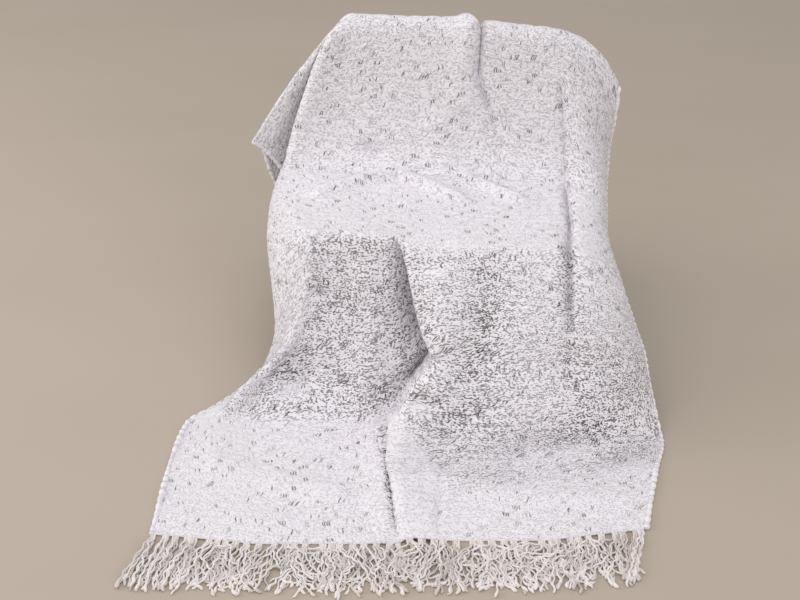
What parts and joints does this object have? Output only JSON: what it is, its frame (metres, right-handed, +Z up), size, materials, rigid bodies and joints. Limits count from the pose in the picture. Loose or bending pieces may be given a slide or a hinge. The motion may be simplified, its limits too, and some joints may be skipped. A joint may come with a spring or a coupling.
{
  "type": "blanket draped over a chair",
  "caption": "Chunky woven cotton throw blanket with a knotted fringe, draped over a plain armless wooden chair and spread on the floor in front of it.",
  "frame": {"origin": "on the floor, under the middle of the whole's bounding box", "axes": "+Z up, -Y towards the front hem that lies on the floor, +X to the right seen from the front"},
  "size_m": [1.3581, 1.4776, 0.9172],
  "materials": {
    "cotton": "soft white chunky woven cotton, matt",
    "wood": "plain oiled brown wood, satin"
  },
  "bodies": {
    "root": {"throw": "cotton", "front_fringe": "cotton", "back_fringe": "cotton", "chair_seat": "wood", "chair_front_leg_left": "wood", "chair_front_leg_right": "wood", "chair_back_post_left": "wood", "chair_back_post_right": "wood", "chair_side_apron_left": "wood", "chair_side_apron_right": "wood", "chair_front_apron": "wood", "chair_rear_apron": "wood", "chair_top_rail": "wood", "chair_back_board": "wood"}
  },
  "joints": []
}
